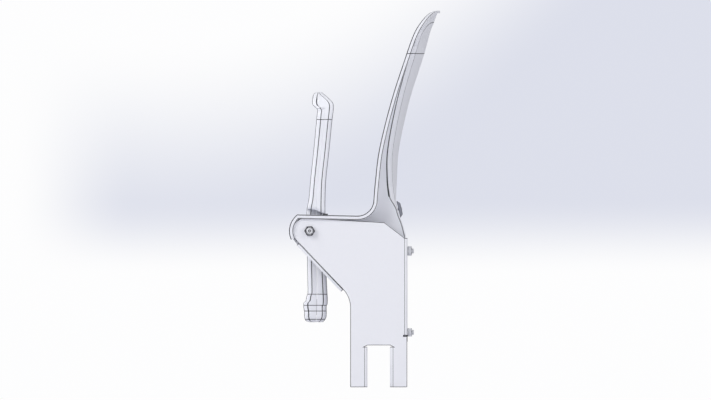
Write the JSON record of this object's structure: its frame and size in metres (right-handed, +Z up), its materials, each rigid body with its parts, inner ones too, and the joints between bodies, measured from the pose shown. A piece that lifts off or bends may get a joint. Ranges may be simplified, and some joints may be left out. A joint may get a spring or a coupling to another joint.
{
  "type": "stadium seat",
  "caption": "Beam-mounted tip-up stadium seat: moulded back with arms on two bent steel side brackets, counterweighted hollow seat pan on two pivots.",
  "frame": {"origin": "middle of the beam notch, at the notch's top edge, half way between the brackets", "axes": "+X to the sitter's left along the beam, -Y ahead of the sitter, +Z up"},
  "size_m": [0.4596, 0.2942, 0.734],
  "materials": {
    "bracket_steel": "pale grey powder coat",
    "shell_plastic": "fine moulded texture",
    "zinc_steel": "bright zinc plate",
    "bush_nylon": "natural nylon",
    "dark_nylon": "black nylon",
    "weight_iron": "rough cast, lacquered",
    "dark_steel": "dark zinc plate",
    "stop_rubber": "black moulded rubber",
    "plate_plastic": "satin"
  },
  "bodies": {
    "frame": {"bracket_left": "bracket_steel", "bracket_right": "bracket_steel", "back_shell": "shell_plastic", "rear_bolts": "zinc_steel", "rear_washers": "zinc_steel", "rear_nuts": "zinc_steel", "pivot_bolts": "zinc_steel", "pivot_nuts": "zinc_steel", "pivot_spacers": "zinc_steel", "head_washers": "zinc_steel", "thrust_washers": "dark_nylon", "stop_pads": "stop_rubber", "stop_buffers": "stop_rubber", "number_plate": "plate_plastic", "number_rivets": "zinc_steel"},
    "seat": {"pivot_bushes": "bush_nylon", "seat_top": "shell_plastic", "seat_underside": "shell_plastic", "counterweight": "weight_iron", "weight_screws": "dark_steel", "seat_screws": "dark_steel"}
  },
  "joints": [
    {"name": "seat_tip", "type": "hinge", "parent": "frame", "child": "seat", "pos_m": [0, -0.1348, 0.2229], "axis": [1, 0, 0], "range_deg": [0, 82]}
  ]
}
